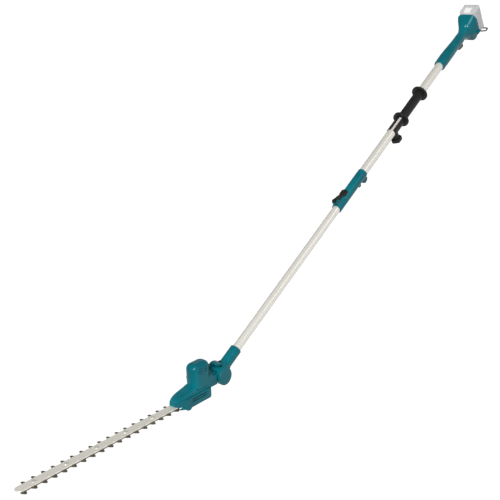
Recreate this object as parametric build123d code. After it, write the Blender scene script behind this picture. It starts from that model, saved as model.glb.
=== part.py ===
"""Cordless pole hedge trimmer with a tilting head and a telescopic pole.

Lengths are millimetres. Stations are distances along the pole axis from the head hinge,
positive towards the battery. Reaches are distances from the hinge towards the blade tip,
in the head's own frame, which is then tilted about the hinge. Heights are along +Z.
The exported frame has its origin on the pole axis at the carrying point, +X towards the battery.
"""
import math
import os

from build123d import *

# ---------------------------------------------------------------- pole
INNER_OD = 23.2
INNER_WALL = 1.4
OUTER_WALL = 1.5
SLIP = 0.1  # radial clearance of every sliding or turning fit
FACE_GAP = 0.15  # gap between flat faces that move past each other
INNER_FRONT = 46.0
INNER_REAR = 772.0
OUTER_FRONT = 652.0
OUTER_REAR = 1396.0
CARRY_STATION = 862.0  # the exported origin

# ---------------------------------------------------------------- head hinge
HEAD_TILT = 30.5  # degrees the blade is raised above the pole line
CHEEK_R = 23.0
CHEEK_T = 8.0
CAP_T = 5.2
TONGUE_W = 28.0
HINGE_BOLT_R = 4.0
SOCKET_R = 15.4
SOCKET_END = 84.0
HOOD_R = 31.0  # outer radius of the raised hood over the tongue
ROOM_R = 25.2  # radius of the space in which the tongue turns

# ---------------------------------------------------------------- head housing
DOME_REAR = 43.0
DOME_FRONT = 103.0
DOME_W = 41.0
DOME_TOP = 61.0
DOME_ROUND = 15.0
BODY_REAR = 30.0
BODY_BOTTOM = -10.0
NOSE_TIP = 165.0
CASE_REAR = 50.5
CASE_CORNER = 134.0  # where the case starts to narrow
CASE_FRONT = 160.0
CASE_W = 49.0
CASE_WALL = 2.6
FOOT_REACH = 133.5

# ---------------------------------------------------------------- drive
MOTOR_REACH = 73.0
MOTOR_R = 17.5
MOTOR_H = 52.0
GEAR_MODULE = 1.0
PINION_TEETH = 9
GEAR_TEETH = 36
GEAR_T = 4.5
GEAR_TOP = -12.0
SHAFT_R = 2.4
THROW = 6.5  # half the stroke of each blade
PHASE = 5.75  # how far each blade stands from mid-stroke at rest
CAM_R = 10.0
AXLE_R = 3.0
HUB_WALL = 1.7  # thin enough to pass the yoke at full stroke
YOKE_PLAY = 1.6  # along the blade, between cam and yoke
YOKE_RIM = 3.2

# ---------------------------------------------------------------- blades
BAR_TOP = -24.0
BAR_T = 2.5
BAR_W = 24.0
BAR_REAR = 118.0
BAR_TIP = 626.0
BLADE_T = 1.8
BLADE_GAP = 0.12
SPINE_W = 21.0
TOOTH_PITCH = 26.3
NEAR_TEETH = 18
FAR_TEETH = 17
TIP_TOOTH = 614.6  # reach of the tooth nearest the tip, the same on both blades at rest
SIDE_STAGGER = 21.3  # how much further back the first far tooth stands
LONG_TOOTH = 22.5  # tip distance from the blade's centre line
SHORT_TOOTH = 16.5
TOOTH_ROOT = 13.5
TOOTH_TIP = 4.5
BOLT_FIRST = 147.4
BOLT_SPACING = 86.65
BOLT_COUNT = 6
BOLT_R = 2.5
BUSH_R = 3.4
BOLT_HEAD_R = 4.6

# ---------------------------------------------------------------- middle sleeve
SLEEVE_FRONT = 616.0
SLEEVE_REAR = 773.0
SLEEVE_R = 15.0
LEVER_PIN_X = 624.0
LEVER_PIN_Z = 23.5
LEVER_PIN_R = 2.5
LEVER_HUB_R = 6.5
LEVER_W = 11.0
PAD_FRONT = 653.0
PAD_REAR = 679.0
PAD_W = 20.0
PAD_TOP = 19.8
EAR_T = 3.6

# ---------------------------------------------------------------- front grip
CLAMP_FRONT = 955.0
GRIP_FRONT = 1017.0
GRIP_REAR = 1153.0
GRIP_R = 14.6
FLANGE_R = 25.4
FLANGE_T = 8.0
CLAMP_R = 15.0
KNOB_STATION = 970.0
KNOB_R = 17.5
KNOB_H = 12.0
KNOB_TOP = -30.0
BOSS_R = 11.0
KNOB_LOBES = 5

# ---------------------------------------------------------------- rear handle
HANDLE_FRONT = 1291.5
LIP_R = 18.0
RIM_STATION = 1513.0
CHEEK_REAR = 1521.0
HOUSING_W = 64.5
HOUSING_TOP = 41.0
HOUSING_BOTTOM = -52.5
HANDLE_WALL = 2.6
TRIGGER_FRONT = 1411.0
TRIGGER_REAR = 1444.0
TRIGGER_W = 13.0
RIB_W = 12.0  # the raised rib along the underside of the handle
RIB_BOTTOM = -20.3

# ---------------------------------------------------------------- battery
BATTERY_FRONT = 1518.0
BATTERY_REAR = 1562.0
BATTERY_W = 59.0
BATTERY_TOP = 48.0
BATTERY_LIP = 40.0
BATTERY_FRONT_ROUND = 14.0  # plan radius of the corners next to the housing
BATTERY_REAR_ROUND = 6.0  # height of the top face where it meets the housing
BATTERY_BOTTOM = -38.5
BATTERY_HEEL = -26.0  # height of the sloping bottom where it meets the housing
RAIL_STEM = 12.0
RAIL_HEAD = 17.0
RAIL_TOP = 22.0
RAIL_SEAT = 1507.0
RAIL_PLATE_W = 48.0
RAIL_PLATE_LOW = -25.0
RAIL_PLATE_HIGH = 28.0
LOOP_WIRE = 4.2
LOOP_REAR = 1573.0


# ================================================================ small shapes
def block(x0, x1, y0, y1, z0, z1):
    """A box between two corners."""
    centre = Pos((x0 + x1) / 2, (y0 + y1) / 2, (z0 + z1) / 2)
    return centre * Box(abs(x1 - x0), abs(y1 - y0), abs(z1 - z0))


def rod_x(x0, x1, r, y=0.0, z=0.0):
    """A round bar along the pole."""
    return Pos((x0 + x1) / 2, y, z) * Rot(0, 90, 0) * Cylinder(r, abs(x1 - x0))


def rod_y(y0, y1, r, x=0.0, z=0.0):
    """A round bar across the tool."""
    return Pos(x, (y0 + y1) / 2, z) * Rot(90, 0, 0) * Cylinder(r, abs(y1 - y0))


def rod_z(z0, z1, r, x=0.0, y=0.0):
    """An upright round bar."""
    return Pos(x, y, (z0 + z1) / 2) * Cylinder(r, abs(z1 - z0))


def plan(outline, z0, z1):
    """An outline drawn from above, raised between two heights."""
    return Pos(0, 0, z0) * extrude(outline, z1 - z0)


def side(points, half_width):
    """A side outline, given as (x, z) points, widened equally both ways."""
    face = Plane.XZ * make_face(Polyline(*points, close=True))
    return extrude(face, half_width, both=True)


def across(x, width, z0, z1, corner):
    """A rounded section that stands across the pole at station x."""
    plane = Plane(origin=(x, 0, (z0 + z1) / 2), x_dir=(0, 1, 0), z_dir=(1, 0, 0))
    return plane * RectangleRounded(width, z1 - z0, corner)


def slot_plan(x, y, length, width):
    """A round-ended slot lying along X."""
    return Pos(x, y) * SlotOverall(length, width)


def half(shape, sign, cut=0.0):
    """The part of a shape on one side of the middle plane."""
    reach = 3000
    low, high = (cut, reach) if sign > 0 else (-reach, -cut)
    return shape & block(-reach, reach, low, high, -reach, reach)


# ================================================================ head hinge and pole
outer_bore = INNER_OD / 2 + SLIP
OUTER_R = outer_bore + OUTER_WALL
cheek_in = TONGUE_W / 2 + FACE_GAP
cheek_out = cheek_in + CHEEK_T
LOCK_FRONT = 20.0
LOCK_L = 5.5
LOCK_W = 10.0
LOCK_TRAVEL = 4.0
LOCK_FLOOR = 16.5
LOCK_TOP = 21.5


def hinge_bracket():
    """The fork that carries the head, with the socket for the inner tube."""
    fork = rod_y(-cheek_out, cheek_out, CHEEK_R)
    web_r = SOCKET_R - 0.2
    web = loft([across(8, 2 * cheek_out, -21, 21, 8), across(36, 2 * web_r, -web_r, web_r, 15)])
    socket = rod_x(30, SOCKET_END, SOCKET_R)
    socket = fillet(socket.edges().filter_by(GeomType.CIRCLE).group_by(Axis.X)[-1], 0.8)
    hood = rod_y(-9, 18, HOOD_R) & block(6, 40, -9, 18, 4, 40)
    body = fork + web + socket + hood
    body -= rod_y(-cheek_in, cheek_in, ROOM_R)
    body -= rod_x(INNER_FRONT, SOCKET_END + 1, INNER_OD / 2)
    body -= rod_y(-cheek_out, cheek_out, HINGE_BOLT_R + SLIP)
    body -= block(LOCK_FRONT - FACE_GAP, LOCK_FRONT + LOCK_L + LOCK_TRAVEL + 0.5,
                  -LOCK_W / 2 - SLIP, LOCK_W / 2 + SLIP, LOCK_FLOOR, HOOD_R + 2)
    return body - socket_screw()


def hinge_caps():
    """Domed covers on the outer faces of the fork."""
    cap = fillet(rod_y(cheek_out, cheek_out + CAP_T, CHEEK_R).edges().group_by(Axis.Y)[-1], 2.2)
    cap -= rod_y(cheek_out - 1, cheek_out + 2.6, 8)
    return Compound([cap, mirror(cap, Plane.XZ)])


def hinge_bolt():
    """Pivot bolt with its head and nut under the caps."""
    shank = rod_y(-cheek_out - 2.4, cheek_out + 2.4, HINGE_BOLT_R)
    head = rod_y(cheek_out, cheek_out + 2.4, 7)
    nut = Pos(0, -cheek_out, 0) * Rot(90, 0, 0) * extrude(RegularPolygon(7, 6), 2.4)
    return shank + head + nut


def angle_lock():
    """The thumb slider that frees the head for tilting."""
    rear = LOCK_FRONT + LOCK_L
    slide = block(LOCK_FRONT, rear, -LOCK_W / 2, LOCK_W / 2, LOCK_FLOOR + FACE_GAP, LOCK_TOP)
    ridge_x = (LOCK_FRONT + 1, LOCK_FRONT + 2.8, rear - 1)
    ridge = [rod_y(-LOCK_W / 2, LOCK_W / 2, 0.8, x=x, z=LOCK_TOP) for x in ridge_x]
    return slide + ridge


def inner_tube():
    """The thin tube that slides in and out of the thick one."""
    return rod_x(INNER_FRONT, INNER_REAR, INNER_OD / 2) - rod_x(
        INNER_FRONT - 1, INNER_REAR + 1, INNER_OD / 2 - INNER_WALL)


def outer_tube():
    """The thick tube that both hands hold."""
    return rod_x(OUTER_FRONT, OUTER_REAR, OUTER_R) - rod_x(OUTER_FRONT - 1, OUTER_REAR + 1, outer_bore)


def socket_screw():
    """Grub screw that keeps the inner tube in its socket, seen from below."""
    return rod_z(-SOCKET_R + 0.3, -INNER_OD / 2 - 0.2, 2.6, x=66)


# ================================================================ head housing
gear_reach = MOTOR_REACH + GEAR_MODULE * (PINION_TEETH + GEAR_TEETH) / 2 + 0.3
gear_r = GEAR_MODULE * GEAR_TEETH / 2
pinion_r = GEAR_MODULE * PINION_TEETH / 2
gear_bottom = GEAR_TOP - GEAR_T
MOTOR_TOP = GEAR_TOP + 3 + MOTOR_H
bar_bottom = BAR_TOP - BAR_T
upper_top = bar_bottom - BLADE_GAP
upper_bottom = upper_top - BLADE_T
lower_top = upper_bottom - BLADE_GAP
lower_bottom = lower_top - BLADE_T


def nose_form():
    """The tapering front of the head, from the dome to its tip."""
    low = -30
    return loft([across(-100, DOME_W, low, 7.5, 10), across(-126, DOME_W, low, 1.5, 10),
                 across(-150, 35, low, -2.5, 10), across(-NOSE_TIP, 23, low, -7, 9)])


def head_form():
    """The outside of the upper head housing, before it is hollowed and split."""
    length = DOME_FRONT - DOME_REAR
    middle = Pos(-(DOME_FRONT + DOME_REAR) / 2, 0)
    dome = plan(middle * RectangleRounded(length, DOME_W, 18), BODY_BOTTOM, DOME_TOP)
    dome = fillet(dome.edges().group_by(Axis.Z)[-1], DOME_ROUND)
    body = side([(-26, BODY_BOTTOM - 2), (-26, 12), (-40, 17), (-72, 17), (-86, 0), (-101, 0),
                 (-101, BODY_BOTTOM), (-CASE_REAR + 0.5, BODY_BOTTOM),
                 (-CASE_REAR + 0.5, BODY_BOTTOM - 2)], DOME_W / 2)
    nose = nose_form() & block(-NOSE_TIP - 1, -99, -DOME_W, DOME_W, BODY_BOTTOM, DOME_TOP)
    form = dome + body + nose - rod_y(-DOME_W, DOME_W, CHEEK_R + 3)
    neck = rod_y(-TONGUE_W / 2, TONGUE_W / 2, ROOM_R - 4)
    neck += block(-BODY_REAR - 10, 0, -TONGUE_W / 2, TONGUE_W / 2, BODY_BOTTOM - 2, 16)
    return form + neck


def head_cavity():
    """Room for the motor in the dome."""
    return rod_z(BODY_BOTTOM - 1, MOTOR_TOP + 1.5, MOTOR_R + 0.3, x=-MOTOR_REACH)


def head_vents(sign):
    """Cooling slots high on one side of the dome and the long seam slot below."""
    face, deep = sign * (DOME_W / 2 + 1), sign * (DOME_W / 2 - 1.8)
    slots = []
    for row in range(3):
        z = 37.0 + 6.0 * row
        slots.append(block(-92, -78, deep, face, z, z + 2.6))
        slots.append(block(-70, -60, deep, face, z, z + 2.6))
        slots.append(block(-DOME_REAR - 2.5, -DOME_REAR + 1, sign * 2, sign * 10, z - 6, z - 3.4))
    low = block(-100, -60, sign * (DOME_W / 2 - 1.2), face, -3.4, -0.8)
    return Compound(slots + [low])


def head_half(sign):
    """One half of the upper housing."""
    shell = half(head_form(), sign) - head_cavity() - head_vents(sign)
    pockets = [rod_y(end - 2, DOME_W, SCREW_HEAD_R, x=-reach, z=z) for reach, z, end in HEAD_SCREWS]
    if sign > 0:
        shell -= pockets
    return shell - rod_y(-TONGUE_W, TONGUE_W, HINGE_BOLT_R + SLIP) - head_screws()


def case_form():
    """The outside of the lower gear case, with its feet and the lower part of the nose."""
    foot = FOOT_REACH
    profile = [(-CASE_REAR, BODY_BOTTOM), (-CASE_REAR, -28), (-CASE_REAR - 5, -34), (-foot + 9, -35.5),
               (-foot + 5, -39.5), (-foot - 4, -39.5), (-foot - 9, -35), (-CASE_FRONT + 5, -33.5),
               (-CASE_FRONT, -29), (-CASE_FRONT, BODY_BOTTOM)]
    half_w = CASE_W / 2
    taper = Polyline((-CASE_REAR, -half_w), (-CASE_REAR, half_w), (-CASE_CORNER, half_w), (-148, 19.5),
                     (-CASE_FRONT, 13), (-CASE_FRONT, -13), (-148, -19.5), (-CASE_CORNER, -half_w), close=True)
    form = side(profile, half_w) & plan(make_face(taper), -60, BODY_BOTTOM)
    form = fillet(form.edges().filter_by(Axis.Z).group_by(Axis.X)[-1], 5)
    nose = block(-NOSE_TIP - 1, -CASE_CORNER, -DOME_W, DOME_W, BAR_TOP + FACE_GAP, BODY_BOTTOM)
    return form + (nose_form() & nose)


def gear_case():
    """The lower gear case: walls, vent slots and the mouth for the blades."""
    inner = CASE_W / 2 - CASE_WALL
    mouth = BAR_W / 2 + 0.3
    case = case_form()
    case -= block(-CASE_CORNER, -CASE_REAR - CASE_WALL, -inner, inner, -60, GEAR_TOP + FACE_GAP)
    case -= block(-CASE_FRONT - 1, -CASE_CORNER + 1, -mouth, mouth, -60, BAR_TOP)
    tooth_way = SHORT_TOOTH + 1
    case -= block(-CASE_FRONT - 1, -CASE_FRONT + 2 * THROW, -tooth_way, tooth_way,
                  lower_bottom - 1, bar_bottom)
    case -= rod_z(-30, 0, pinion_r + 3, x=-MOTOR_REACH)
    case -= rod_z(BAR_TOP - 1, BAR_TOP + 2.1, BOLT_HEAD_R + 0.4, x=-BOLT_FIRST)
    for z in (-17.2, -23.4):
        for sign in (-1, 1):
            case -= block(-121, -68, sign * (inner - 1), sign * CASE_W, z, z + 3.6)
    return case - crank_axle()


def base_cover():
    """The plate under the gear case."""
    inner = CASE_W / 2 - CASE_WALL - 0.1
    plate = block(-CASE_CORNER + 0.1, -CASE_REAR - CASE_WALL - 0.1, -inner, inner, -36.8, -34.6)
    ribs = [block(-x - 2, -x, -inner + 6, inner - 6, -38.2, -36.8) for x in (72, 84, 108, 120)]
    return plate + ribs - crank_axle()


HEAD_SCREWS = ((38, 4, 19.0), (96, -6, 19.0), (97, 24, 14.5), (49, 30, 13.5))
SCREW_R = 1.8
SCREW_HEAD_R = 3.2


def head_screws():
    """Cross screws from the far side that hold the two housing halves together."""
    screws = []
    for reach, z, end in HEAD_SCREWS:
        shank = rod_y(-11, end, SCREW_R, x=-reach, z=z)
        screws.append(shank + rod_y(end - 2, end, SCREW_HEAD_R, x=-reach, z=z))
    return Compound(screws)


# ================================================================ drive
def gear_blank(teeth, z0, z1):
    """A spur wheel with straight-flanked teeth and generous backlash."""
    root = GEAR_MODULE * (teeth / 2 - 1.25)
    tip = GEAR_MODULE * (teeth / 2 + 0.95)
    pitch = 2 * math.pi / teeth
    points = []
    for i in range(teeth):
        for r, share in ((root, -0.26), (tip, -0.11), (tip, 0.11), (root, 0.26)):
            a = (i + share) * pitch
            points.append((r * math.cos(a), r * math.sin(a)))
    return plan(make_face(Polyline(*points, close=True)), z0, z1)


def motor():
    """The motor can, standing over the gears."""
    can = chamfer(rod_z(MOTOR_TOP - MOTOR_H, MOTOR_TOP, MOTOR_R, x=-MOTOR_REACH).edges(), 1.0)
    return can - rod_z(MOTOR_TOP - MOTOR_H - 1, MOTOR_TOP - 4, SHAFT_R + SLIP, x=-MOTOR_REACH)


def pinion():
    """Motor shaft with its pinion, set so that a gap faces the wheel."""
    shift = 0.0 if PINION_TEETH % 2 else 180.0 / PINION_TEETH
    teeth = Pos(-MOTOR_REACH, 0, 0) * Rot(0, 0, shift) * gear_blank(PINION_TEETH, gear_bottom, GEAR_TOP)
    return teeth + rod_z(GEAR_TOP - 1, MOTOR_TOP - 5, SHAFT_R, x=-MOTOR_REACH)


def cam_angle():
    """How far the crank has turned from mid-stroke at rest, in degrees."""
    return 90.0 * PHASE / THROW


def crank_gear():
    """The large wheel with the two opposed cams that drive the blades."""
    wheel = gear_blank(GEAR_TEETH, gear_bottom, GEAR_TOP)
    hub = rod_z(lower_bottom, gear_bottom, AXLE_R + HUB_WALL)
    turn = math.radians(cam_angle())
    out = (THROW * math.sin(turn), -THROW * math.cos(turn))
    cams = rod_z(upper_bottom, upper_top, CAM_R, x=out[0], y=out[1])
    cams += rod_z(lower_bottom, lower_top, CAM_R, x=-out[0], y=-out[1])
    crank = wheel + hub + cams - rod_z(-60, 10, AXLE_R + SLIP)
    return Pos(-gear_reach, 0, 0) * crank


def crank_axle():
    """The fixed axle between the base plate and the roof of the gear case."""
    return rod_z(-36.8, BODY_BOTTOM - 0.4, AXLE_R, x=-gear_reach)


def crank_bush():
    """The spacer under the crank, on the axle."""
    ring = rod_z(-34.6, lower_bottom - FACE_GAP, AXLE_R + 2.5, x=-gear_reach)
    return ring - rod_z(-40, -20, AXLE_R, x=-gear_reach)


# ================================================================ blades
def bolt_reaches():
    return [BOLT_FIRST + BOLT_SPACING * i for i in range(BOLT_COUNT)]


def tooth(reach, sign, tip):
    """One tooth as a flat outline, pointing sideways from the spine."""
    root = SPINE_W / 2 - 1
    lean = 1.5
    front, rear = -reach - TOOTH_ROOT / 2, -reach + TOOTH_ROOT / 2
    tip_front, tip_rear = -reach - TOOTH_TIP / 2 - lean, -reach + TOOTH_TIP / 2 - lean
    return make_face(Polyline((front, sign * root), (tip_front, sign * tip),
                              (tip_rear, sign * tip), (rear, sign * root), close=True))


def blade(shift, tip, z0, z1):
    """A toothed blade whose yoke and slots stand shift forward of the upper blade's."""
    front = TIP_TOOTH + 2
    rear = gear_reach + (shift - PHASE) + 10
    outline = Pos(-(front + rear) / 2, 0) * RectangleRounded(front - rear, SPINE_W, 6)
    for i in range(NEAR_TEETH):
        outline += tooth(TIP_TOOTH - TOOTH_PITCH * i, -1, tip)
    for i in range(FAR_TEETH):
        outline += tooth(TIP_TOOTH - SIDE_STAGGER - TOOTH_PITCH * i, 1, tip)
    yoke_x = gear_reach + shift - PHASE
    inner_l = 2 * (CAM_R + YOKE_PLAY)
    inner_w = 2 * (CAM_R + THROW + 0.4)
    yoke = Pos(-yoke_x, 0) * RectangleRounded(inner_l + 2 * YOKE_RIM, inner_w + 2 * YOKE_RIM, 12)
    outline += yoke
    outline -= Pos(-yoke_x, 0) * RectangleRounded(inner_l, inner_w, CAM_R)
    slot_l = 2 * (BUSH_R + THROW + 0.5)
    for reach in bolt_reaches():
        outline -= slot_plan(-reach - shift + PHASE, 0, slot_l, 2 * BUSH_R + 0.4)
    return plan(outline, z0, z1)


def guard_bar():
    """The stiff bar over the blades, with a rounded tip."""
    long = BAR_TIP - BAR_REAR
    outline = Pos(-(BAR_TIP + BAR_REAR) / 2, 0) * RectangleRounded(long, BAR_W, BAR_W / 2 - 1)
    for reach in bolt_reaches():
        outline -= Pos(-reach, 0) * Circle(BOLT_R)
    bar = plan(outline, bar_bottom, BAR_TOP)
    return chamfer(bar.edges().group_by(Axis.Z)[-1].filter_by(GeomType.LINE), 0.8)


def blade_bolts():
    """Screws through the bar with their bushes and lock nuts."""
    bolts = []
    for reach in bolt_reaches():
        bolt = rod_z(lower_bottom - BLADE_GAP, BAR_TOP, BOLT_R, x=-reach)
        bolt += rod_z(BAR_TOP, BAR_TOP + 1.8, BOLT_HEAD_R, x=-reach)
        bolt += rod_z(lower_bottom - BLADE_GAP, bar_bottom, BUSH_R, x=-reach)
        bolt += rod_z(lower_bottom - BLADE_GAP - 1, lower_bottom - BLADE_GAP, BUSH_R + 3.4, x=-reach)
        nut = Pos(-reach, 0, lower_bottom - BLADE_GAP - 3.6) * extrude(RegularPolygon(4.2, 6), 2.6)
        bolts.append(bolt + nut)
    return Compound(bolts)


def blade_guide():
    """The black wear block under the blades where they leave the housing."""
    half_w = BAR_W / 2 + 0.2
    return block(-163, -155, -half_w, half_w, -34.5, lower_bottom - 0.5)


def head_pose(shape):
    """Tilt a piece of the head about the hinge."""
    return Rot(0, HEAD_TILT, 0) * shape


# ================================================================ middle sleeve
ear_out = LEVER_W / 2 + FACE_GAP + EAR_T


def pole_sleeve():
    """The moulded sleeve where the two tubes meet, with its clamp boss and hanging hook."""
    rear = SLEEVE_REAR
    body = rod_x(SLEEVE_FRONT, rear, SLEEVE_R)
    body = chamfer(body.edges().filter_by(GeomType.CIRCLE), 0.8)
    boss = rod_y(-ear_out, ear_out, 6.2, x=LEVER_PIN_X, z=LEVER_PIN_Z - 2)
    boss += block(LEVER_PIN_X - 5.5, LEVER_PIN_X + 10, -ear_out, ear_out, 0, LEVER_PIN_Z - 4)
    hook = side([(rear - 16, 0), (rear - 15, -20), (rear - 16, -26), (rear - 10, -31.5), (rear, -31),
                 (rear + 6, -26), (rear + 6, -20), (rear + 3, -15), (rear, -12), (rear, 0)], 5)
    hook = fillet(hook.edges().filter_by(Axis.Y).group_by(Axis.Z)[0:3], 3)
    stub = side([(rear - 44, 0), (rear - 43, -17), (rear - 39, -23.5), (rear - 31, -23.5), (rear - 28, -17),
                 (rear - 28, 0)], 4.5)
    body += boss + hook + stub
    body -= rod_x(OUTER_FRONT, rear + 10, OUTER_R)
    body -= rod_x(SLEEVE_FRONT - 10, rear, outer_bore)
    lever_gap = LEVER_W / 2 + FACE_GAP
    body -= rod_y(-lever_gap, lever_gap, LEVER_HUB_R + 0.4, x=LEVER_PIN_X, z=LEVER_PIN_Z)
    body -= block(LEVER_PIN_X - 30, LEVER_PIN_X, -lever_gap, lever_gap, LEVER_PIN_Z, 60)
    body -= block(LEVER_PIN_X, LEVER_PIN_X + 40, -lever_gap, lever_gap, SLEEVE_R + 0.2, 60)
    return body - lever_pin() - shoe_block() - scallop()


def scallop():
    """The shallow finger flat on the near side of the sleeve, beside the lever."""
    cut = block(SLEEVE_FRONT + 4, OUTER_FRONT - 1, -SLEEVE_R - 2, -SLEEVE_R + 1.6, -8, 12)
    return Rot(-20, 0, 0) * cut


def shoe_block():
    """The outline of the clamping shoe and of its window."""
    return block(LEVER_PIN_X - 4.5, LEVER_PIN_X + 4.5, -4, 4, 8, LEVER_PIN_Z - LEVER_HUB_R - 0.45)


def clamp_shoe():
    """The shoe that the lever's cam presses on the inner tube."""
    return shoe_block() - rod_x(SLEEVE_FRONT, OUTER_FRONT, outer_bore)


def lever_pin():
    """Cross pin of the pole lock lever."""
    return rod_y(-ear_out - 0.6, ear_out + 0.6, LEVER_PIN_R, x=LEVER_PIN_X, z=LEVER_PIN_Z)


def lock_lever():
    """The lever that locks the telescopic pole: hub, narrow neck and thumb pad."""
    hub = rod_y(-LEVER_W / 2, LEVER_W / 2, LEVER_HUB_R, x=LEVER_PIN_X, z=LEVER_PIN_Z)
    neck = side([(LEVER_PIN_X, LEVER_PIN_Z + LEVER_HUB_R), (PAD_FRONT + 6, PAD_TOP - 0.6),
                 (PAD_FRONT + 6, SLEEVE_R + 1), (LEVER_PIN_X + 10, SLEEVE_R + 1.5),
                 (LEVER_PIN_X, LEVER_PIN_Z)], LEVER_W / 2)
    pad_plan = Pos((PAD_FRONT + PAD_REAR) / 2, 0) * RectangleRounded(PAD_REAR - PAD_FRONT, PAD_W, 8)
    pad = plan(pad_plan, 11, PAD_TOP)
    pad = fillet(pad.edges().group_by(Axis.Z)[-1], 2.5)
    lever = hub + neck + pad
    lever -= rod_x(LEVER_PIN_X - 20, PAD_REAR + 20, SLEEVE_R + 0.4)
    return lever - rod_y(-LEVER_W, LEVER_W, LEVER_PIN_R + SLIP, x=LEVER_PIN_X, z=LEVER_PIN_Z)


# ================================================================ front grip
def front_grip():
    """The hand grip with a guard flange at each end."""
    body = rod_x(GRIP_FRONT, GRIP_REAR, GRIP_R)
    for x in (GRIP_FRONT, GRIP_REAR - FLANGE_T):
        body += fillet(rod_x(x, x + FLANGE_T, FLANGE_R).edges().filter_by(GeomType.CIRCLE), 2.2)
    return body - rod_x(GRIP_FRONT - 1, GRIP_REAR + 1, OUTER_R + SLIP)


def grip_clamp():
    """The slotted ring ahead of the grip, with the boss for the thumb screw."""
    ring = chamfer(rod_x(CLAMP_FRONT, GRIP_FRONT, CLAMP_R).edges(), 0.8)
    boss = rod_z(KNOB_TOP + 1, -CLAMP_R + 4, BOSS_R, x=KNOB_STATION)
    body = ring + boss
    body -= rod_x(CLAMP_FRONT - 1, GRIP_FRONT + 1, OUTER_R + SLIP)
    slot = Rot(25, 0, 0) * block(CLAMP_FRONT - 1, GRIP_FRONT - 2, -3.7, 3.7, 8, 30)
    return body - slot - rod_z(-60, 0, 3 + SLIP, x=KNOB_STATION)


def grip_knob():
    """The lobed thumb knob with its clamping screw."""
    disc = Circle(KNOB_R - 2)
    for i in range(KNOB_LOBES):
        a = math.radians(90 + 360 * i / KNOB_LOBES)
        disc += Pos((KNOB_R - 5.5) * math.cos(a), (KNOB_R - 5.5) * math.sin(a)) * Circle(5.5)
    knob = plan(disc, KNOB_TOP - KNOB_H, KNOB_TOP)
    knob = chamfer(knob.edges().group_by(Axis.Z)[0], 1.5)
    screw = rod_z(KNOB_TOP - 1, -OUTER_R - 0.2, 3)
    return Pos(KNOB_STATION, 0, 0) * (knob + screw)


# ================================================================ rear handle
HANDLE_SCREWS = ((1304, -15.4, 6), (1384, -15.4, 6), (1478, 6, 14), (1490, -30, 14))
LOOP_SIDE = BATTERY_W / 2 + LOOP_WIRE / 2 + 1.6
LOOP_START = 1506.0
LOOP_START_Z = -22.0
LOOP_END_Z = -49.5
LOOP_BEND = 6.0
LAMPS = ((1484.0, -10.0), (1478.0, -10.0), (1481.0, -18.0))


def housing_section(x, half_w, z0, z1, corner):
    """A section across the battery housing, narrower below than above."""
    plane = Plane(origin=(x, 0, 0), x_dir=(0, 1, 0), z_dir=(1, 0, 0))
    knee = z0 + 0.36 * (z1 - z0)
    foot = 0.46 * half_w
    outline = Polyline((-half_w, knee), (-half_w, z1), (half_w, z1), (half_w, knee),
                       (foot, z0), (-foot, z0), close=True)
    face = make_face(outline)
    upper = face.vertices().group_by(Axis.Y)[-1]
    face = fillet(upper, corner)
    return plane * fillet(face.vertices().group_by(Axis.Y)[0], 0.3 * corner)


def handle_form():
    """The outside of the rear handle and the flared battery housing."""
    lip = rod_x(HANDLE_FRONT, HANDLE_FRONT + 10, LIP_R)
    lip = fillet(lip.edges().filter_by(GeomType.CIRCLE), 2)
    grip = loft([across(HANDLE_FRONT + 6, 35.4, -17.7, 17.7, 17.2), across(1360, 35, -18.5, 17.4, 16.5),
                 across(1404, 30, -19, 15, 14), across(1444, 29, -19, 14, 13)])
    rib = side([(1302, -10), (1308, -18.8), (1316, RIB_BOTTOM),
                (1384, RIB_BOTTOM), (1395, -18), (1395, -10)], RIB_W / 2)
    rib = fillet(rib.edges().filter_by(Axis.X).group_by(Axis.Z)[0], 2)
    rim = housing_section(RIM_STATION, HOUSING_W / 2, HOUSING_BOTTOM, HOUSING_TOP, 17)
    flare = loft([across(1444, 29, -19, 14, 13), across(1466, 30, -20.5, 15, 13),
                  housing_section(1490, 23, -40, 25.5, 14), rim])
    cheeks = extrude(rim, CHEEK_REAR - RIM_STATION)
    cheeks -= block(BATTERY_FRONT - 2, CHEEK_REAR + 1, -HOUSING_W, HOUSING_W,
                    HOUSING_TOP - 17, HOUSING_TOP + 1)
    boss_r = LOOP_WIRE / 2 + 1.7
    bosses = [rod_x(LOOP_START - 4, CHEEK_REAR, boss_r, y=y, z=LOOP_START_Z) for y in (-LOOP_SIDE, LOOP_SIDE)]
    return lip + grip + rib + flare + cheeks + bosses


def battery_room():
    """The space that the battery and its mounting block take in the housing."""
    gap = 0.4
    front = BATTERY_FRONT - gap
    room = side([(front, BATTERY_HEEL - gap), (front, 80), (BATTERY_REAR, 80),
                 (BATTERY_REAR, BATTERY_BOTTOM - gap)], BATTERY_W / 2 + gap)
    plate_w = RAIL_PLATE_W / 2
    return room + block(RAIL_SEAT, front + 1, -plate_w, plate_w, RAIL_PLATE_LOW, RAIL_PLATE_HIGH)


def handle_hollow():
    """The bore for the pole and the room for the switch and trigger."""
    hollow = rod_x(HANDLE_FRONT - 1, OUTER_REAR, OUTER_R)
    hollow += block(OUTER_REAR + 4, 1452, -10.5, 10.5, -12, 9.5)
    hollow += block(TRIGGER_FRONT - 1, TRIGGER_REAR + 1, -TRIGGER_W / 2 - 0.3, TRIGGER_W / 2 + 0.3, -40, -11)
    return hollow


def indicator_lamps():
    """Three small lamps on the sloping top of the housing."""
    lamps = []
    for x, y in LAMPS:
        lamps.append(Pos(x + 3, y * 0.8, 16) * Rot(0, -25, 0) * Cylinder(1.7, 16))
    return Compound(lamps) & handle_form()


def handle_half(sign):
    """One half of the handle moulding."""
    shell = half(handle_form(), sign) - battery_room() - handle_hollow()
    screw_holes = [rod_y(-40, 40, 1.8, x=x, z=z) for x, z, _ in HANDLE_SCREWS]
    return shell - screw_holes - main_hoop() - indicator_lamps()


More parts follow.
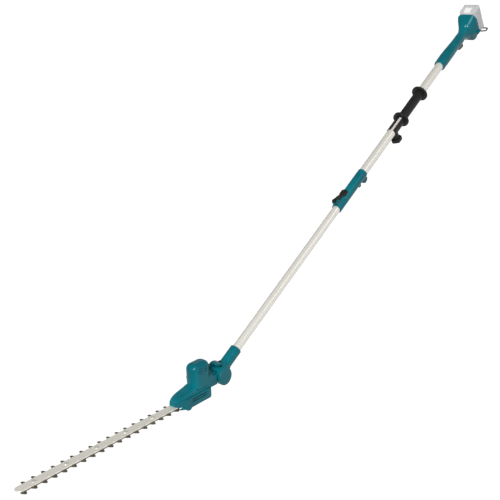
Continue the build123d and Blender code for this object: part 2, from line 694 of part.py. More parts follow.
def handle_screws():
    """Screws across the handle."""
    return Compound([rod_y(-reach, reach, 1.8, x=x, z=z) for x, z, reach in HANDLE_SCREWS])


def switch_body():
    """The switch above the trigger."""
    body = block(OUTER_REAR + 6, 1450, -9, 9, -9.5, 7)
    return body + block(OUTER_REAR + 14, OUTER_REAR + 20, -4, 4, 7, 9)


def trigger():
    """The switch trigger under the handle."""
    pad = side([(TRIGGER_FRONT, -14), (TRIGGER_FRONT, -22), (TRIGGER_FRONT + 6, -28),
                (TRIGGER_REAR - 14, -30.5), (TRIGGER_REAR, -32), (TRIGGER_REAR, -14)], TRIGGER_W / 2)
    return fillet(pad.edges().filter_by(Axis.Y).group_by(Axis.Z)[0], 2)


def main_hoop():
    """The bent wire hoop that keeps the battery off the ground."""
    y = LOOP_SIDE
    bend = LOOP_START + 9
    low = LOOP_REAR - 15
    path = FilletPolyline((LOOP_START, -y, LOOP_START_Z), (bend, -y, LOOP_START_Z), (low, -y, LOOP_END_Z),
                          (LOOP_REAR, -y, LOOP_END_Z), (LOOP_REAR, y, LOOP_END_Z), (low, y, LOOP_END_Z),
                          (bend, y, LOOP_START_Z), (LOOP_START, y, LOOP_START_Z), radius=LOOP_BEND)
    section = Plane(origin=path @ 0, z_dir=path % 0) * Circle(LOOP_WIRE / 2)
    return sweep(section, path)


# ================================================================ battery


def battery_rails():
    """The black mounting block that the battery slides down onto."""
    front = BATTERY_FRONT - 0.4
    plate = block(RAIL_SEAT, front, -RAIL_PLATE_W / 2, RAIL_PLATE_W / 2, RAIL_PLATE_LOW, RAIL_PLATE_HIGH)
    stem = block(front, BATTERY_FRONT + 4, -RAIL_STEM, RAIL_STEM, BATTERY_HEEL + 4, RAIL_TOP)
    head = block(BATTERY_FRONT + 4, BATTERY_FRONT + 7, -RAIL_HEAD, RAIL_HEAD, BATTERY_HEEL + 4, RAIL_TOP)
    return plate + stem + head


LABEL_L = 22.0
LABEL_W = 22.0


def label_block():
    """The shallow field for the label, on the sloping top of the battery."""
    angle = math.degrees(math.atan2(BATTERY_TOP - BATTERY_LIP, BATTERY_REAR - 9 - BATTERY_FRONT))
    middle = (BATTERY_FRONT + BATTERY_REAR - 9) / 2
    height = (BATTERY_TOP + BATTERY_LIP) / 2
    return Pos(middle, 3, height) * Rot(0, -angle, 0) * Box(LABEL_L, LABEL_W, 1.0)


def battery_label():
    """A blank label plate let into the battery's top face."""
    return label_block()


def charge_button():
    """The small button that shows the battery's charge."""
    return rod_z(44, BATTERY_TOP + 0.5, 2.2, x=BATTERY_REAR - 8, y=-17)


def battery_case():
    """The battery pack with the undercut channel for the rails."""
    half_w = BATTERY_W / 2
    end = across(BATTERY_FRONT, BATTERY_W, BATTERY_BOTTOM, BATTERY_TOP, 8)
    pack = extrude(end, BATTERY_REAR - BATTERY_FRONT)
    pack &= side([(BATTERY_FRONT, BATTERY_HEEL), (BATTERY_FRONT, BATTERY_LIP), (BATTERY_REAR - 9, BATTERY_TOP),
                  (BATTERY_REAR, BATTERY_TOP), (BATTERY_REAR, BATTERY_BOTTOM)], half_w)
    long, extra = BATTERY_REAR - BATTERY_FRONT, 20
    middle = (BATTERY_FRONT + BATTERY_REAR) / 2
    for shift, corner in ((-extra / 2, BATTERY_REAR_ROUND), (extra / 2, BATTERY_FRONT_ROUND)):
        outline = Pos(middle + shift, 0) * RectangleRounded(long + extra, BATTERY_W, corner)
        pack &= plan(outline, BATTERY_BOTTOM, BATTERY_TOP)
    gap = 0.4
    low = BATTERY_BOTTOM - 1
    stem, head, high = RAIL_STEM + gap, RAIL_HEAD + gap, RAIL_TOP + gap
    pack -= block(BATTERY_FRONT - 1, BATTERY_FRONT + 4, -stem, stem, low, high)
    pack -= block(BATTERY_FRONT + 4 - gap, BATTERY_FRONT + 7 + gap, -head, head, low, high)
    for sign in (-1, 1):
        for i in range(3):
            x = BATTERY_FRONT + 16 + 7 * i
            pack -= block(x, x + 2.2, sign * (half_w - 0.8), sign * (half_w + 1), BATTERY_HEEL, 30)
    return pack - label_block() - charge_button()


def save(name, shape):
    """Write one node, moved so that the carrying point is the origin."""
    export_step(Pos(-CARRY_STATION, 0, 0) * shape, f"parts/{name}.step")


def main():
    os.makedirs("parts", exist_ok=True)
    fixed = {
        "hinge_bracket": hinge_bracket(), "hinge_caps": hinge_caps(), "hinge_bolt": hinge_bolt(),
        "angle_lock": angle_lock(), "inner_tube": inner_tube(), "outer_tube": outer_tube(),
        "socket_screw": socket_screw(), "pole_sleeve": pole_sleeve(), "lever_pin": lever_pin(),
        "clamp_shoe": clamp_shoe(), "lock_lever": lock_lever(), "front_grip": front_grip(),
        "grip_clamp": grip_clamp(), "grip_knob": grip_knob(), "handle_left": handle_half(-1),
        "handle_right": handle_half(1), "handle_screws": handle_screws(), "trigger": trigger(),
        "switch_body": switch_body(), "indicator_lamps": indicator_lamps(), "battery_hoop": main_hoop(),
        "battery_rails": battery_rails(), "battery_case": battery_case(), "battery_label": battery_label(),
        "charge_button": charge_button(),
    }
    head = {
        "head_left": head_half(-1), "head_right": head_half(1), "gear_case": gear_case(),
        "base_cover": base_cover(), "head_screws": head_screws(), "motor": motor(), "pinion": pinion(),
        "crank_gear": crank_gear(), "crank_axle": crank_axle(), "crank_bush": crank_bush(),
        "guard_bar": guard_bar(), "upper_blade": blade(0.0, LONG_TOOTH, upper_bottom, upper_top),
        "lower_blade": blade(2 * PHASE, SHORT_TOOTH, lower_bottom, lower_top),
        "blade_bolts": blade_bolts(), "blade_guide": blade_guide(),
    }
    for name, shape in fixed.items():
        save(name, shape)
    for name, shape in head.items():
        save(name, head_pose(shape))


main()
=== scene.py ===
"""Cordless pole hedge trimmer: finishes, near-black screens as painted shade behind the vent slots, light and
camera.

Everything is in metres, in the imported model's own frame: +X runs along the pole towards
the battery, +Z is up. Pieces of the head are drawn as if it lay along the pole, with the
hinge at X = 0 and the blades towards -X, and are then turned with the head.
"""

import math

import bmesh
import bpy
from mathutils import Matrix, Vector


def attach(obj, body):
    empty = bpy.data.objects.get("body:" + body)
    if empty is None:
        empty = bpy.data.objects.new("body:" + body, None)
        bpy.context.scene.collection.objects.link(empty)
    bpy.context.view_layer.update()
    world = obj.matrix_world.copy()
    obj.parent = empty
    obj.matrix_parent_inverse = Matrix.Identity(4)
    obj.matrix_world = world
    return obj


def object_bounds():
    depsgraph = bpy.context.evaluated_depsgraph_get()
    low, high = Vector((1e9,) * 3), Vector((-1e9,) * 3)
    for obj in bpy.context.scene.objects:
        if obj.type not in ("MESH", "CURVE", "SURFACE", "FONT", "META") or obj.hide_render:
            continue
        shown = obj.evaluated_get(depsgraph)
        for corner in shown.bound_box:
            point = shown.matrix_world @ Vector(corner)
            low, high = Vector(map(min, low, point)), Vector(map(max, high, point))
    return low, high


bl_info = {
    "name": "Pole Hedge Trimmer Finishes",
    "version": (1, 0, 0),
    "blender": (4, 5, 0),
    "location": "View3D > Sidebar > Trimmer",
    "description": "Materials, small details and a plain studio for a cordless pole hedge trimmer",
    "category": "Object",
}

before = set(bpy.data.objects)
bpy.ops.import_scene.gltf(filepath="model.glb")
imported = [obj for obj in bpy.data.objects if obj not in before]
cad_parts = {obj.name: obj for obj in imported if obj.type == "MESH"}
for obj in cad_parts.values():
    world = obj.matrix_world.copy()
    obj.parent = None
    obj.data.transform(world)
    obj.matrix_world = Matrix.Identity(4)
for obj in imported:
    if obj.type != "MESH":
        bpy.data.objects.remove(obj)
CAD_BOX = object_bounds()
HEAD_TILT = 30.5  # degrees the head stands above the pole line at rest
HINGE_X = -0.862  # the hinge's place on the pole line

SCREEN_FRONT = -0.124  # the near-black screens, painted shade behind the vent slots, reach past the slots at both ends
SCREEN_REAR = -0.066
SCREEN_LOW = -0.0252
SCREEN_HIGH = -0.0124
SCREEN_INNER = 0.0205  # from the head's middle plane
SCREEN_OUTER = 0.0214
LOUVRES = 9
LOUVRE_START = 0.0025  # from the screen's front end
LOUVRE_PITCH = 0.0065
LOUVRE_WIDTH = 0.0014
LOUVRE_SINK = 0.0001  # how deep a louvre's foot stands in its screen
LOUVRE_STEP = 0.0004  # how far it stands out

FLOOR_GAP = 0.03  # between the floor and the tip of the folded blades
PAPER_GLOW = 0.9  # added to the floor's own shade where it is seen
AIM = Vector((-0.35, 0.0, 0.05))  # near the middle of the tool, where the lamps point
KEY_PLACE = (-3.1, -2.6, 5.2)
FILL_PLACE = (2.6, -3.9, 2.4)
LAMP_WIDTH = 2.4
WORLD_LIGHT = 0.22

CAMERA_PLACE = (-1.72226, -1.44579, 1.65187)
CAMERA_RIGHT = Vector((0.53120266, -0.77194936, -0.34916747))
CAMERA_UP = Vector((0.69801499, 0.16516092, 0.69677611))
CAMERA_AHEAD = Vector((0.48020705, 0.61385345, -0.62656614))
SENSOR_WIDTH = 36.0
CAMERA_SHIFT = 0.001


# ================================================================ colour and nodes
def linear(hex_colour):
    """An sRGB hex colour as the linear RGBA that a shader socket takes."""
    digits = hex_colour.lstrip("#")
    values = [int(digits[i:i + 2], 16) / 255 for i in (0, 2, 4)]
    return tuple([v / 12.92 if v <= 0.04045 else ((v + 0.055) / 1.055) ** 2.4 for v in values] + [1.0])


def add_node(tree, kind, settings=None, inputs=None):
    """Add one node, set its properties, then fill or link its inputs."""
    node = tree.nodes.new(kind)
    for name, value in (settings or {}).items():
        setattr(node, name, value)
    for name, value in (inputs or {}).items():
        if isinstance(value, bpy.types.NodeSocket):
            tree.links.new(value, node.inputs[name])
        else:
            node.inputs[name].default_value = value
    return node


def new_material(name):
    """An empty material with its shader and output, and the object's own coordinates."""
    old = bpy.data.materials.get(name)
    if old:
        bpy.data.materials.remove(old)
    material = bpy.data.materials.new(name)
    material.use_nodes = True
    tree = material.node_tree
    tree.nodes.clear()
    place = add_node(tree, "ShaderNodeTexCoord").outputs["Object"]
    shader = add_node(tree, "ShaderNodeBsdfPrincipled")
    add_node(tree, "ShaderNodeOutputMaterial", inputs={"Surface": shader.outputs["BSDF"]})
    return material, tree, place, shader


def set_colour_ramp(ramp, stops):
    """Fill a colour ramp with (position, colour) stops."""
    elements = ramp.color_ramp.elements
    while len(elements) > len(stops):
        elements.remove(elements[-1])
    while len(elements) < len(stops):
        elements.new(1.0)
    for element, (position, colour) in zip(elements, stops):
        element.position = position
        element.color = colour


def mottle(tree, place, patch_mm, dark, light):
    """A slow drift between two close colours, as moulded or rolled stock shows."""
    noise = add_node(tree, "ShaderNodeTexNoise", inputs={
        "Vector": place, "Scale": 1000.0 / patch_mm, "Detail": 3.0})
    ramp = add_node(tree, "ShaderNodeValToRGB", inputs={"Fac": noise.outputs["Fac"]})
    set_colour_ramp(ramp, [(0.35, dark), (0.65, light)])
    return ramp.outputs["Color"]


def edge_rub(tree, colour, worn, amount, radius=0.0006):
    """Lighten sharp edges, where hands and hedges rub the surface."""
    bevel = add_node(tree, "ShaderNodeBevel", {"samples": 4}, {"Radius": radius})
    flat = add_node(tree, "ShaderNodeNewGeometry")
    dot = add_node(tree, "ShaderNodeVectorMath", {"operation": "DOT_PRODUCT"},
                   {0: bevel.outputs["Normal"], 1: flat.outputs["Normal"]})
    edge = add_node(tree, "ShaderNodeMapRange", inputs={
        "Value": dot.outputs["Value"], "From Min": 0.995, "From Max": 0.90, "To Min": 0.0, "To Max": amount})
    mix = add_node(tree, "ShaderNodeMix", {"data_type": "RGBA"})
    tree.links.new(edge.outputs["Result"], mix.inputs["Factor"])
    tree.links.new(colour, mix.inputs["A"])
    mix.inputs["B"].default_value = worn
    return mix.outputs["Result"]


def grain_bump(tree, place, size_mm, depth_mm, strength):
    """Fine moulded texture, as bump: size is the distance between grains.

    Real grain is near 0.2 mm; every size here is coarser, so that it shows.
    """
    noise = add_node(tree, "ShaderNodeTexNoise", inputs={
        "Vector": place, "Scale": 1000.0 / size_mm, "Detail": 2.0})
    bump = add_node(tree, "ShaderNodeBump", inputs={
        "Height": noise.outputs["Fac"], "Distance": depth_mm / 1000.0, "Strength": strength})
    return bump.outputs["Normal"]


def tool_lines(tree, place, size_mm, detail, deep, base):
    """Lines that a die or a wheel leaves, with their spacing and length: their height and colour."""
    drawn_out = add_node(tree, "ShaderNodeMapping", inputs={
        "Vector": place, "Scale": [1000.0 / size for size in size_mm]})
    noise = add_node(tree, "ShaderNodeTexNoise", inputs={
        "Vector": drawn_out.outputs["Vector"], "Scale": 1.0, "Detail": detail})
    ramp = add_node(tree, "ShaderNodeValToRGB", inputs={"Fac": noise.outputs["Fac"]})
    set_colour_ramp(ramp, [(0.3, deep), (0.7, base)])
    return noise.outputs["Fac"], ramp.outputs["Color"]


def rough_drift(tree, place, low, high, patch_mm=16.67):
    """Roughness that drifts a little, as handled surfaces show."""
    noise = add_node(tree, "ShaderNodeTexNoise", inputs={
        "Vector": place, "Scale": 1000.0 / patch_mm, "Detail": 2.0})
    span = add_node(tree, "ShaderNodeMapRange", inputs={
        "Value": noise.outputs["Fac"], "To Min": low, "To Max": high})
    return span.outputs["Result"]


# ================================================================ materials
def moulded_nylon(name, base, deep, worn, grain_mm, rough):
    """Glass-filled nylon, injection moulded: an even satin skin with a fine spark-eroded grain."""
    material, tree, place, shader = new_material(name)
    colour = edge_rub(tree, mottle(tree, place, 71.4, deep, base), worn, 0.3)
    tree.links.new(colour, shader.inputs["Base Color"])
    tree.links.new(rough_drift(tree, place, *rough), shader.inputs["Roughness"])
    tree.links.new(grain_bump(tree, place, grain_mm, 0.035, 0.5), shader.inputs["Normal"])
    shader.inputs["IOR"].default_value = 1.53
    shader.inputs["Specular IOR Level"].default_value = 0.16
    return material


def thermoplastic_rubber(name, base, deep, ribs_mm):
    """Soft overmoulded rubber: deep black, broad dull highlight, ribbed round the pole."""
    material, tree, place, shader = new_material(name)
    colour = edge_rub(tree, mottle(tree, place, 33.3, deep, base), linear("#4A4A48"), 0.3)
    tree.links.new(colour, shader.inputs["Base Color"])
    tree.links.new(rough_drift(tree, place, 0.48, 0.62), shader.inputs["Roughness"])
    grain = grain_bump(tree, place, 0.9, 0.04, 0.6)
    # at a scale of 1 the bands are tau / 20 metres apart
    wave = add_node(tree, "ShaderNodeTexWave", {"wave_type": "BANDS", "bands_direction": "X"},
                    {"Vector": place, "Scale": math.tau / 20.0 * 1000.0 / ribs_mm})
    ribs = add_node(tree, "ShaderNodeBump", inputs={
        "Height": wave.outputs["Fac"], "Distance": 0.0003, "Strength": 0.35, "Normal": grain})
    tree.links.new(ribs.outputs["Normal"], shader.inputs["Normal"])
    shader.inputs["IOR"].default_value = 1.50
    shader.inputs["Specular IOR Level"].default_value = 0.25
    return material


def drawn_aluminium(name, base, deep):
    """Drawn and satin anodised aluminium tube: pale, with faint draw lines along its length."""
    material, tree, place, shader = new_material(name)
    # draw lines 3 mm apart round the tube, coarser than the real ones so that they show
    height, colour = tool_lines(tree, place, (667.0, 3.03, 3.03), 2.0, deep, base)
    tree.links.new(colour, shader.inputs["Base Color"])
    bump = add_node(tree, "ShaderNodeBump", inputs={"Height": height, "Distance": 0.00001, "Strength": 0.05})
    tree.links.new(bump.outputs["Normal"], shader.inputs["Normal"])
    tree.links.new(rough_drift(tree, place, 0.30, 0.33, 166.7), shader.inputs["Roughness"])
    shader.inputs["Metallic"].default_value = 0.35
    return material


def ground_steel(name, base, deep, rough, metallic, across=False):
    """Ground steel: fine scratches that the wheel leaves, along the pole or across it."""
    material, tree, place, shader = new_material(name)
    # 0.7 mm apart and 17 mm long, coarser than the real ones so that they show
    apart, length = 0.714, 16.67
    size_mm = (apart, length, apart) if across else (length, apart, length)
    height, colour = tool_lines(tree, place, size_mm, 3.0, deep, base)
    tree.links.new(edge_rub(tree, colour, linear("#C9C8C2"), 0.5, 0.0004), shader.inputs["Base Color"])
    bump = add_node(tree, "ShaderNodeBump", inputs={"Height": height, "Distance": 0.00003, "Strength": 0.5})
    tree.links.new(bump.outputs["Normal"], shader.inputs["Normal"])
    tree.links.new(rough_drift(tree, place, rough - 0.05, rough + 0.08, 11.11), shader.inputs["Roughness"])
    shader.inputs["Metallic"].default_value = metallic
    return material


def zinc_plated(name, base, deep, metallic):
    """Bright zinc plated steel, for screws, bolts and nuts: pale, slightly cloudy."""
    material, tree, place, shader = new_material(name)
    tree.links.new(mottle(tree, place, 4.0, deep, base), shader.inputs["Base Color"])
    tree.links.new(rough_drift(tree, place, 0.25, 0.4, 3.33), shader.inputs["Roughness"])
    shader.inputs["Metallic"].default_value = metallic
    return material


def black_oxide(name):
    """Black oxide steel: dark brown-black with a thin oil sheen."""
    material, tree, place, shader = new_material(name)
    shade = mottle(tree, place, 8.33, linear("#1B1A18"), linear("#2C2A27"))
    colour = edge_rub(tree, shade, linear("#6B6862"), 0.5)
    tree.links.new(colour, shader.inputs["Base Color"])
    tree.links.new(rough_drift(tree, place, 0.32, 0.5, 6.67), shader.inputs["Roughness"])
    shader.inputs["Metallic"].default_value = 0.7
    return material


def powder_coated_wire(name):
    """Powder coated steel wire: near black, slight orange peel, satin."""
    material, tree, place, shader = new_material(name)
    shade = mottle(tree, place, 12.5, linear("#0B0B0B"), linear("#151515"))
    tree.links.new(shade, shader.inputs["Base Color"])
    tree.links.new(rough_drift(tree, place, 0.38, 0.5), shader.inputs["Roughness"])
    # orange peel, 1.5 mm across
    tree.links.new(grain_bump(tree, place, 1.5, 0.05, 0.5), shader.inputs["Normal"])
    shader.inputs["Specular IOR Level"].default_value = 0.25
    return material


def moulded_abs(name, base, deep, worn):
    """Moulded ABS, as battery shells are: pale, dry satin with a light grain."""
    material, tree, place, shader = new_material(name)
    colour = edge_rub(tree, mottle(tree, place, 50.0, deep, base), worn, 0.25)
    tree.links.new(colour, shader.inputs["Base Color"])
    tree.links.new(rough_drift(tree, place, 0.4, 0.5), shader.inputs["Roughness"])
    tree.links.new(grain_bump(tree, place, 1.0, 0.03, 0.5), shader.inputs["Normal"])
    shader.inputs["IOR"].default_value = 1.54
    return material


def polyester_film(name):
    """A blank matt polyester label: near white with a faint fibre in the print coat."""
    material, tree, place, shader = new_material(name)
    shade = mottle(tree, place, 5.0, linear("#F3F2EF"), linear("#FBFAF8"))
    tree.links.new(shade, shader.inputs["Base Color"])
    tree.links.new(rough_drift(tree, place, 0.3, 0.4, 8.33), shader.inputs["Roughness"])
    shader.inputs["Coat Weight"].default_value = 0.2
    return material


def lamp_lens_painted_highlight(name):
    """A clear polycarbonate light pipe, unlit, coloured pale aqua: partly its own tint, partly a painted
    highlight for the bright glints on the lamps.
    """
    material, tree, place, shader = new_material(name)
    shade = mottle(tree, place, 3.33, linear("#7FB9BD"), linear("#B9DBDC"))
    tree.links.new(shade, shader.inputs["Base Color"])
    tree.links.new(rough_drift(tree, place, 0.12, 0.2, 5.0), shader.inputs["Roughness"])
    shader.inputs["IOR"].default_value = 1.58
    return material


# ================================================================ settings
def colour_property(name, description, hex_colour):
    """A colour that the panel shows, with an sRGB hex default."""
    return bpy.props.FloatVectorProperty(name=name, description=description, default=linear(hex_colour),
                                         size=4, min=0.0, max=1.0, subtype="COLOR")


class TrimmerColours(bpy.types.PropertyGroup):
    """The colours that an owner might change."""

    housing: colour_property("Housing", "Colour of the moulded housings", "#04707C")
    housing_deep: colour_property("Housing, deep", "Darker drift in the housings", "#03606C")
    rubber: colour_property("Grip", "Colour of the rubber grip", "#1D1D1C")
    tube: colour_property("Tube", "Colour of the anodised tubes", "#EBE8E0")
    bar: colour_property("Guard bar", "Colour of the bright guard bar", "#F0EDE3")
    teeth: colour_property("Teeth", "Colour of the blade teeth", "#7A7263")
    battery: colour_property("Battery", "Colour of the battery shell", "#CDCDCF")


class TrimmerSizes(bpy.types.PropertyGroup):
    """The sizes of the studio."""

    floor: bpy.props.FloatProperty(
        name="Floor", description="Width of the floor", default=60.0, unit="LENGTH")
    lens: bpy.props.FloatProperty(
        name="Lens", description="Focal length of the camera", default=66.58, subtype="DISTANCE_CAMERA")
    key_power: bpy.props.FloatProperty(
        name="Key light", description="Power of the main soft light", default=440.0, unit="POWER")
    fill_power: bpy.props.FloatProperty(
        name="Fill light", description="Power of the fill light", default=30.0, unit="POWER")


def dress(node, material):
    """Give a carried-over node one finish."""
    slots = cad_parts[node].data.materials
    slots.clear()
    slots.append(material)


# ================================================================ new pieces
def new_piece(name, mesh_maker, body, material):
    """Make an object at the origin from a bmesh, put its finish on and let it ride."""
    bm = bmesh.new()
    mesh_maker(bm)
    bmesh.ops.recalc_face_normals(bm, faces=bm.faces)
    mesh = bpy.data.meshes.new(name)
    bm.to_mesh(mesh)
    bm.free()
    piece = bpy.data.objects.new(name, mesh)
    bpy.context.scene.collection.objects.link(piece)
    mesh.materials.append(material)
    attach(piece, body)


def plate(bm, low, high):
    """A flat plate between two corners."""
    made = bmesh.ops.create_cube(bm, size=1.0)
    bmesh.ops.scale(bm, verts=made["verts"], vec=[b - a for a, b in zip(low, high)])
    bmesh.ops.translate(bm, verts=made["verts"], vec=[(a + b) / 2 for a, b in zip(low, high)])
    return made["verts"]


def tilt_head(bm, verts):
    """Turn a piece drawn along the pole about the hinge, to the head's angle at rest."""
    turn = Matrix.Rotation(math.radians(HEAD_TILT), 4, "Y")
    bmesh.ops.transform(bm, matrix=Matrix.Translation((HINGE_X, 0, 0)) @ turn, verts=verts)


def painted_shade_screens(bm):
    """Two near-black sheets behind the gear case's vent slots, louvred from bars: painted shade, standing in
    for the shade inside the case.
    """
    for sign in (-1, 1):
        left, right = sorted((sign * SCREEN_INNER, sign * SCREEN_OUTER))
        tilt_head(bm, plate(bm, (SCREEN_FRONT, left, SCREEN_LOW), (SCREEN_REAR, right, SCREEN_HIGH)))
        left, right = sorted((sign * (SCREEN_OUTER - LOUVRE_SINK), sign * (SCREEN_OUTER + LOUVRE_STEP)))
        for i in range(LOUVRES):
            x = SCREEN_FRONT + LOUVRE_START + LOUVRE_PITCH * i
            tilt_head(bm, plate(bm, (x, left, SCREEN_LOW), (x + LOUVRE_WIDTH, right, SCREEN_HIGH)))


# ================================================================ studio
def paper_floor():
    """White seamless paper: seen by the camera as white, and it keeps the object's shadow."""
    material, tree, place, shader = new_material("seamless_paper")
    shade = mottle(tree, place, 500.0, linear("#7D7D7B"), linear("#828280"))
    tree.links.new(shade, shader.inputs["Base Color"])
    shader.inputs["Roughness"].default_value = 0.9
    path = add_node(tree, "ShaderNodeLightPath")
    seen = add_node(tree, "ShaderNodeMath", {"operation": "MAXIMUM"},
                    {0: path.outputs["Is Camera Ray"], 1: path.outputs["Is Glossy Ray"]})
    seen = add_node(tree, "ShaderNodeMath", {"operation": "MAXIMUM"},
                    {0: seen.outputs["Value"], 1: path.outputs["Is Transmission Ray"]})
    glow = add_node(tree, "ShaderNodeEmission", inputs={"Color": linear("#FFFFFF"), "Strength": PAPER_GLOW})
    paper = shader.outputs["BSDF"]
    glowing = add_node(tree, "ShaderNodeAddShader", inputs={0: paper, 1: glow.outputs["Emission"]})
    choice = add_node(tree, "ShaderNodeMixShader", inputs={
        "Fac": seen.outputs["Value"], 1: paper, 2: glowing.outputs["Shader"]})
    out = next(n for n in tree.nodes if n.type == "OUTPUT_MATERIAL")
    tree.links.new(choice.outputs["Shader"], out.inputs["Surface"])
    return material


def add_light(name, place, power):
    """A square soft light that faces the middle of the tool."""
    data = bpy.data.lights.new(name, "AREA")
    data.size = LAMP_WIDTH
    data.energy = power
    lamp = bpy.data.objects.new(name, data)
    lamp.location = place
    lamp.rotation_mode = "QUATERNION"
    lamp.rotation_quaternion = (AIM - Vector(place)).to_track_quat("-Z", "Y")
    bpy.context.scene.collection.objects.link(lamp)


def set_world(scene):
    """A white studio: white where it is seen, and a softer white as light."""
    world = bpy.data.worlds.new("studio")
    scene.world = world
    world.use_nodes = True
    tree = world.node_tree
    tree.nodes.clear()
    path = add_node(tree, "ShaderNodeLightPath")
    lit = add_node(tree, "ShaderNodeBackground", inputs={"Color": linear("#FFFFFF"), "Strength": WORLD_LIGHT})
    seen = add_node(tree, "ShaderNodeBackground", inputs={"Color": linear("#FFFFFF"), "Strength": 1.0})
    rays = add_node(tree, "ShaderNodeMath", {"operation": "MAXIMUM"},
                    {0: path.outputs["Is Camera Ray"], 1: path.outputs["Is Transmission Ray"]})
    mix = add_node(tree, "ShaderNodeMixShader", inputs={
        "Fac": rays.outputs["Value"], 1: lit.outputs["Background"], 2: seen.outputs["Background"]})
    add_node(tree, "ShaderNodeOutputWorld", inputs={"Surface": mix.outputs["Shader"]})


def set_camera(scene, lens):
    """The camera beyond the blades and above them, looking down along the tool."""
    data = bpy.data.cameras.new("camera")
    data.sensor_width = SENSOR_WIDTH
    data.lens = lens
    data.shift_x = -CAMERA_SHIFT
    data.shift_y = CAMERA_SHIFT
    data.clip_end = 200.0
    camera = bpy.data.objects.new("camera", data)
    scene.collection.objects.link(camera)
    turn = Matrix((CAMERA_RIGHT, CAMERA_UP, -CAMERA_AHEAD)).transposed().to_4x4()
    camera.matrix_world = Matrix.Translation(CAMERA_PLACE) @ turn
    scene.camera = camera


# ================================================================ operators
class TRIMMER_OT_housings(bpy.types.Operator):
    """Finish the moulded housings, the sleeve and the hinge."""

    bl_idname = "trimmer.housings"
    bl_label = "Housings"

    def execute(self, context):
        colours = context.scene.trimmer_colours
        teal = moulded_nylon("glass_filled_nylon_teal", colours.housing, colours.housing_deep,
                             linear("#3F97A1"), 1.1, (0.22, 0.30))
        for node in ("head_left", "head_right", "gear_case", "handle_left", "handle_right", "pole_sleeve"):
            dress(node, teal)
        # the paint on the castings has the nylon's satin skin, over a coarser sand-cast grain
        cast = moulded_nylon("painted_cast_alloy_teal", linear("#076C77"), linear("#045D67"),
                             linear("#4E9DA5"), 1.6, (0.22, 0.30))
        for node in ("hinge_bracket", "hinge_caps"):
            dress(node, cast)
        # near-black screens behind the vent slots: painted shade, standing in for the shade inside the gear
        # case
        shade_sheet = moulded_abs("painted_shade_screen_black", linear("#0C0D0D"), linear("#070808"), linear("#1A1B1B"))
        new_piece("painted_shade_screens", painted_shade_screens, "head", shade_sheet)
        return {"FINISHED"}


class TRIMMER_OT_tubes(bpy.types.Operator):
    """Finish the two telescoping tubes."""

    bl_idname = "trimmer.tubes"
    bl_label = "Tubes"

    def execute(self, context):
        colours = context.scene.trimmer_colours
        tube = drawn_aluminium("satin_anodised_aluminium", colours.tube, linear("#E2DFD7"))
        for node in ("inner_tube", "outer_tube"):
            dress(node, tube)
        return {"FINISHED"}


class TRIMMER_OT_blades(bpy.types.Operator):
    """Finish the guard bar, the two toothed blades and their screws."""

    bl_idname = "trimmer.blades"
    bl_label = "Blades"

    def execute(self, context):
        colours = context.scene.trimmer_colours
        dress("guard_bar", ground_steel("brushed_stainless_bar", colours.bar, linear("#E0DDD2"), 0.42, 0.35))
        teeth = ground_steel("hardened_tool_steel", colours.teeth, linear("#554E43"), 0.36, 0.7, across=True)
        dress("upper_blade", teeth)
        dress("lower_blade", teeth)
        plated = zinc_plated("bright_zinc_plate", linear("#BFC1C2"), linear("#8F9193"), 0.95)
        dress("blade_bolts", zinc_plated("satin_zinc_plate", linear("#DEDDD8"), linear("#C4C4C0"), 0.4))
        for node in ("head_screws", "handle_screws", "hinge_bolt"):
            dress(node, plated)
        return {"FINISHED"}


class TRIMMER_OT_drive(bpy.types.Operator):
    """Finish the motor, gears and shafts inside the head."""

    bl_idname = "trimmer.drive"
    bl_label = "Drive"

    def execute(self, context):
        dark = black_oxide("black_oxide_steel")
        for node in ("crank_gear", "pinion", "crank_axle", "lever_pin", "socket_screw"):
            dress(node, dark)
        dress("motor", ground_steel("drawn_motor_can", linear("#A9AAA8"), linear("#8B8C8A"), 0.35, 0.9))
        dress("crank_bush", ground_steel("sintered_bronze", linear("#8C6A3F"), linear("#6E522F"), 0.5, 0.8))
        black = moulded_abs("moulded_nylon_black", linear("#1C1D1D"), linear("#121313"), linear("#3A3B3B"))
        for node in ("base_cover", "blade_guide", "battery_rails", "switch_body", "trigger", "clamp_shoe"):
            dress(node, black)
        return {"FINISHED"}


class TRIMMER_OT_grips(bpy.types.Operator):
    """Finish the front grip, its clamp and knob, the lock lever and the angle slider."""

    bl_idname = "trimmer.grips"
    bl_label = "Grips"

    def execute(self, context):
        colours = context.scene.trimmer_colours
        rubber = thermoplastic_rubber("ribbed_thermoplastic_rubber", colours.rubber, linear("#1A1B1A"), 6.0)
        dress("front_grip", rubber)
        lever = moulded_nylon("glass_filled_nylon_black", linear("#252321"), linear("#191817"),
                              linear("#45423F"), 0.9, (0.4, 0.52))
        for node in ("lock_lever", "grip_clamp", "grip_knob", "angle_lock"):
            dress(node, lever)
        return {"FINISHED"}


class TRIMMER_OT_battery(bpy.types.Operator):
    """Finish the battery, its blank label, its button, the lamps and the wire hoop."""

    bl_idname = "trimmer.battery"
    bl_label = "Battery"

    def execute(self, context):
        colours = context.scene.trimmer_colours
        shell = moulded_abs("moulded_abs_pale_grey", colours.battery, linear("#C4C4C6"), linear("#E2E2E2"))
        dress("battery_case", shell)
        dress("battery_label", polyester_film("matt_polyester_film"))
        button = moulded_abs("moulded_abs_grey", linear("#A9A9A7"), linear("#9C9C9A"), linear("#C2C2C0"))
        dress("charge_button", button)
        # the lamps' pale aqua is partly their own tint and partly a painted highlight, for the bright glints
        # they show
        dress("indicator_lamps", lamp_lens_painted_highlight("light_pipe_painted_highlight"))
        dress("battery_hoop", powder_coated_wire("powder_coated_wire"))
        return {"FINISHED"}


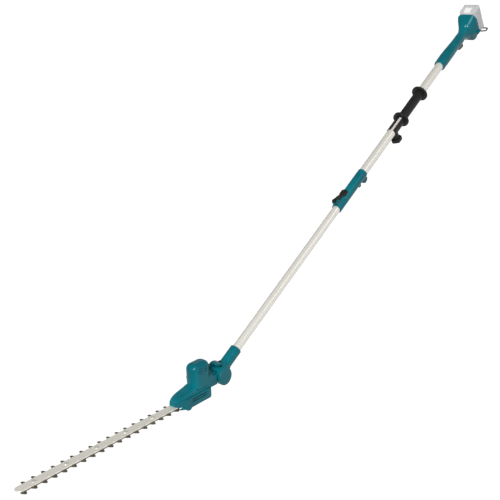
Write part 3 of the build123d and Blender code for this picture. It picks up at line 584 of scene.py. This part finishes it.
class TRIMMER_OT_stage(bpy.types.Operator):
    """Make the plain pale floor, the soft lights, the world and the camera."""

    bl_idname = "trimmer.stage"
    bl_label = "Stage"

    def execute(self, context):
        sizes = context.scene.trimmer_sizes
        low, high = CAD_BOX
        # the floor lies below the tip of the blades when the head is folded right down
        drop = math.hypot(HINGE_X - low.x, high.z) + FLOOR_GAP
        bm = bmesh.new()
        bmesh.ops.create_grid(bm, x_segments=1, y_segments=1, size=sizes.floor / 2)
        bmesh.ops.translate(bm, verts=bm.verts, vec=(0, 0, -drop))
        mesh = bpy.data.meshes.new("floor")
        bm.to_mesh(mesh)
        bm.free()
        floor = bpy.data.objects.new("floor", mesh)
        context.scene.collection.objects.link(floor)
        mesh.materials.append(paper_floor())
        add_light("key", KEY_PLACE, sizes.key_power)
        add_light("fill", FILL_PLACE, sizes.fill_power)
        set_world(context.scene)
        set_camera(context.scene, sizes.lens)
        context.scene.view_settings.view_transform = "Standard"
        return {"FINISHED"}


class TRIMMER_PT_panel(bpy.types.Panel):
    """Sizes, colours and the steps, in the 3D view's sidebar."""

    bl_idname = "TRIMMER_PT_panel"
    bl_label = "Pole hedge trimmer"
    bl_space_type = "VIEW_3D"
    bl_region_type = "UI"
    bl_category = "Trimmer"

    def draw(self, context):
        column = self.layout.column()
        for group in (context.scene.trimmer_sizes, context.scene.trimmer_colours):
            for name in group.__annotations__:
                column.prop(group, name)
        for operator in OPERATORS:
            column.operator(operator.bl_idname)


OPERATORS = (TRIMMER_OT_housings, TRIMMER_OT_tubes, TRIMMER_OT_blades, TRIMMER_OT_drive, TRIMMER_OT_grips,
             TRIMMER_OT_battery, TRIMMER_OT_stage)
CLASSES = (TrimmerColours, TrimmerSizes) + OPERATORS + (TRIMMER_PT_panel,)


def register():
    for item in CLASSES:
        bpy.utils.register_class(item)
    bpy.types.Scene.trimmer_colours = bpy.props.PointerProperty(type=TrimmerColours)
    bpy.types.Scene.trimmer_sizes = bpy.props.PointerProperty(type=TrimmerSizes)


def unregister():
    del bpy.types.Scene.trimmer_sizes
    del bpy.types.Scene.trimmer_colours
    for item in reversed(CLASSES):
        bpy.utils.unregister_class(item)


def main():
    """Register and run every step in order."""
    register()
    bpy.ops.trimmer.housings()
    bpy.ops.trimmer.tubes()
    bpy.ops.trimmer.blades()
    bpy.ops.trimmer.drive()
    bpy.ops.trimmer.grips()
    bpy.ops.trimmer.battery()
    bpy.ops.trimmer.stage()


if __name__ == "__main__":
    main()
